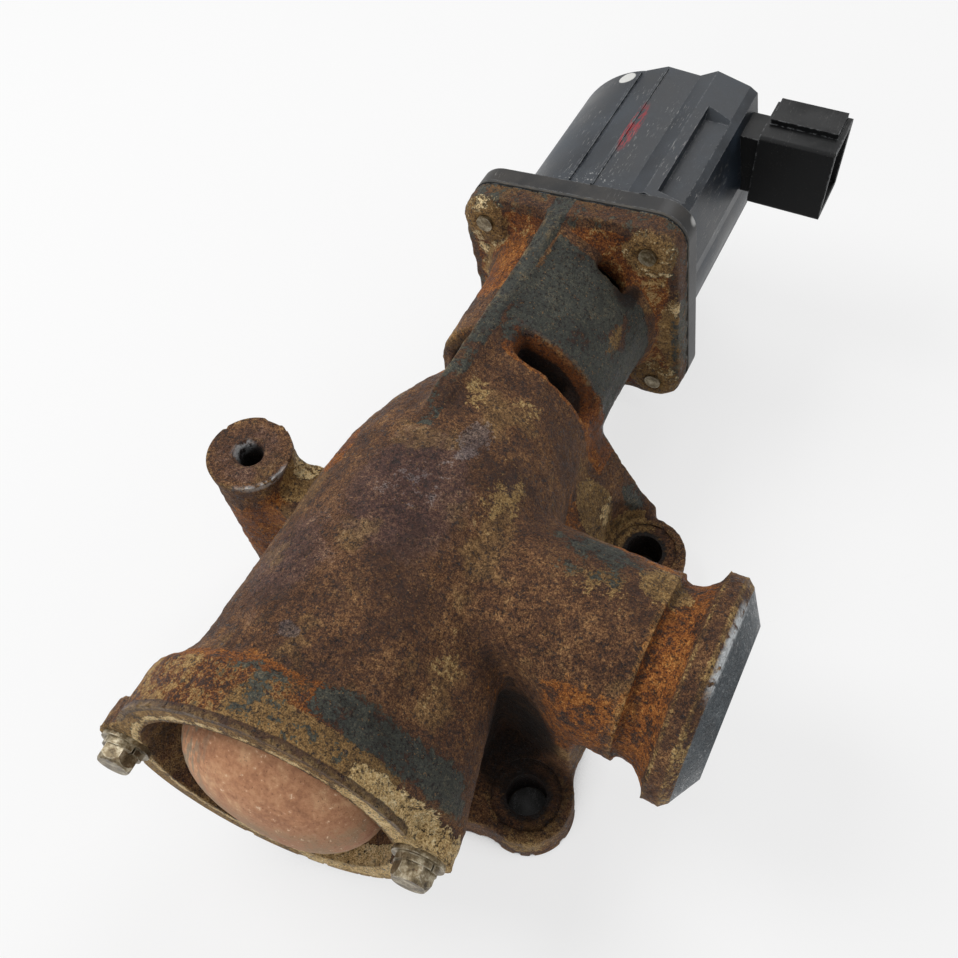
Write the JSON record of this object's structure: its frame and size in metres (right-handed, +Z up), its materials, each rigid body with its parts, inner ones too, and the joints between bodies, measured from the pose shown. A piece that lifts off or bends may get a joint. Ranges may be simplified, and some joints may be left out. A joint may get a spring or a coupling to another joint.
{
  "type": "egr valve",
  "caption": "Cast iron exhaust gas recirculation valve: an axial poppet in a barrel with a clamped side port, driven by a stepper motor through an open yoke.",
  "frame": {"origin": "midway between the two mounting ears' bolt holes, on the plane the ears stand on", "axes": "+Z up, away from the ears' standing plane; +Y along the valve axis from the gas mouth to the motor; +X the way the side port points"},
  "size_m": [0.1462, 0.2483, 0.0843],
  "materials": {
    "cast_iron_body": "rusty, with remains of dark paint",
    "seat_steel": "sooty",
    "bush_bronze": "sintered",
    "seal_rubber": "matt",
    "pressed_steel": "pressed",
    "head_steel": "heat tinted, salmon coloured",
    "stem_steel": "ground",
    "spring_steel": "oiled",
    "zinc_steel": "zinc plated, worn",
    "gasket_fibre": "fibre sheet",
    "black_foot": "satin black",
    "black_case": "satin black, scuffed",
    "bearing_steel": "polished",
    "rotor_plastic": "natural",
    "magnet_ferrite": "sintered",
    "stator_steel": "stamped, zinc plated",
    "coil_copper": "enamelled winding",
    "black_connector": "moulded",
    "terminal_brass": "tin plated",
    "plug_seal": "silicone",
    "board_green": "glass epoxy board"
  },
  "bodies": {
    "base": {"housing": "cast_iron_body", "seat_ring": "seat_steel", "stem_bush": "bush_bronze", "stem_seal": "seal_rubber", "seal_cap": "pressed_steel", "spring_seat": "pressed_steel", "return_spring": "spring_steel", "mouth_washers": "zinc_steel", "mouth_lock_washers": "zinc_steel", "mouth_bolts": "zinc_steel", "flange_gasket": "gasket_fibre", "base_plate": "black_foot", "flange_screws": "zinc_steel", "case_ring": "seal_rubber", "motor_case": "black_case", "front_bearing": "bearing_steel", "rear_bearing": "bearing_steel", "stator_front": "stator_steel", "stator_rear": "stator_steel", "coil_front": "coil_copper", "coil_rear": "coil_copper", "connector_shell": "black_connector", "terminals": "terminal_brass", "connector_seal": "plug_seal", "lead_board": "board_green"},
    "valve": {"valve_head": "head_steel", "valve_stem": "stem_steel", "spring_retainer": "pressed_steel", "keepers": "stem_steel", "drive_screw": "stem_steel"},
    "rotor": {"rotor_hub": "rotor_plastic", "rotor_magnet": "magnet_ferrite"}
  },
  "joints": [
    {"name": "rotor_spin", "type": "hinge", "parent": "base", "child": "rotor", "pos_m": [-0.0465, 0.1305, 0.047], "axis": [0, 1, 0], "range_deg": [0, 1080]},
    {"name": "valve_lift", "type": "slide", "parent": "base", "child": "valve", "axis": [0, -1, 0], "range_m": [0, 0.009], "stiffness_N_per_m": 2500, "springref_m": -0.005, "deforming": ["return_spring"]}
  ],
  "couplings": [
    {"joint": "rotor_spin", "follows": "valve_lift", "rad_per_m": 2094.4}
  ]
}
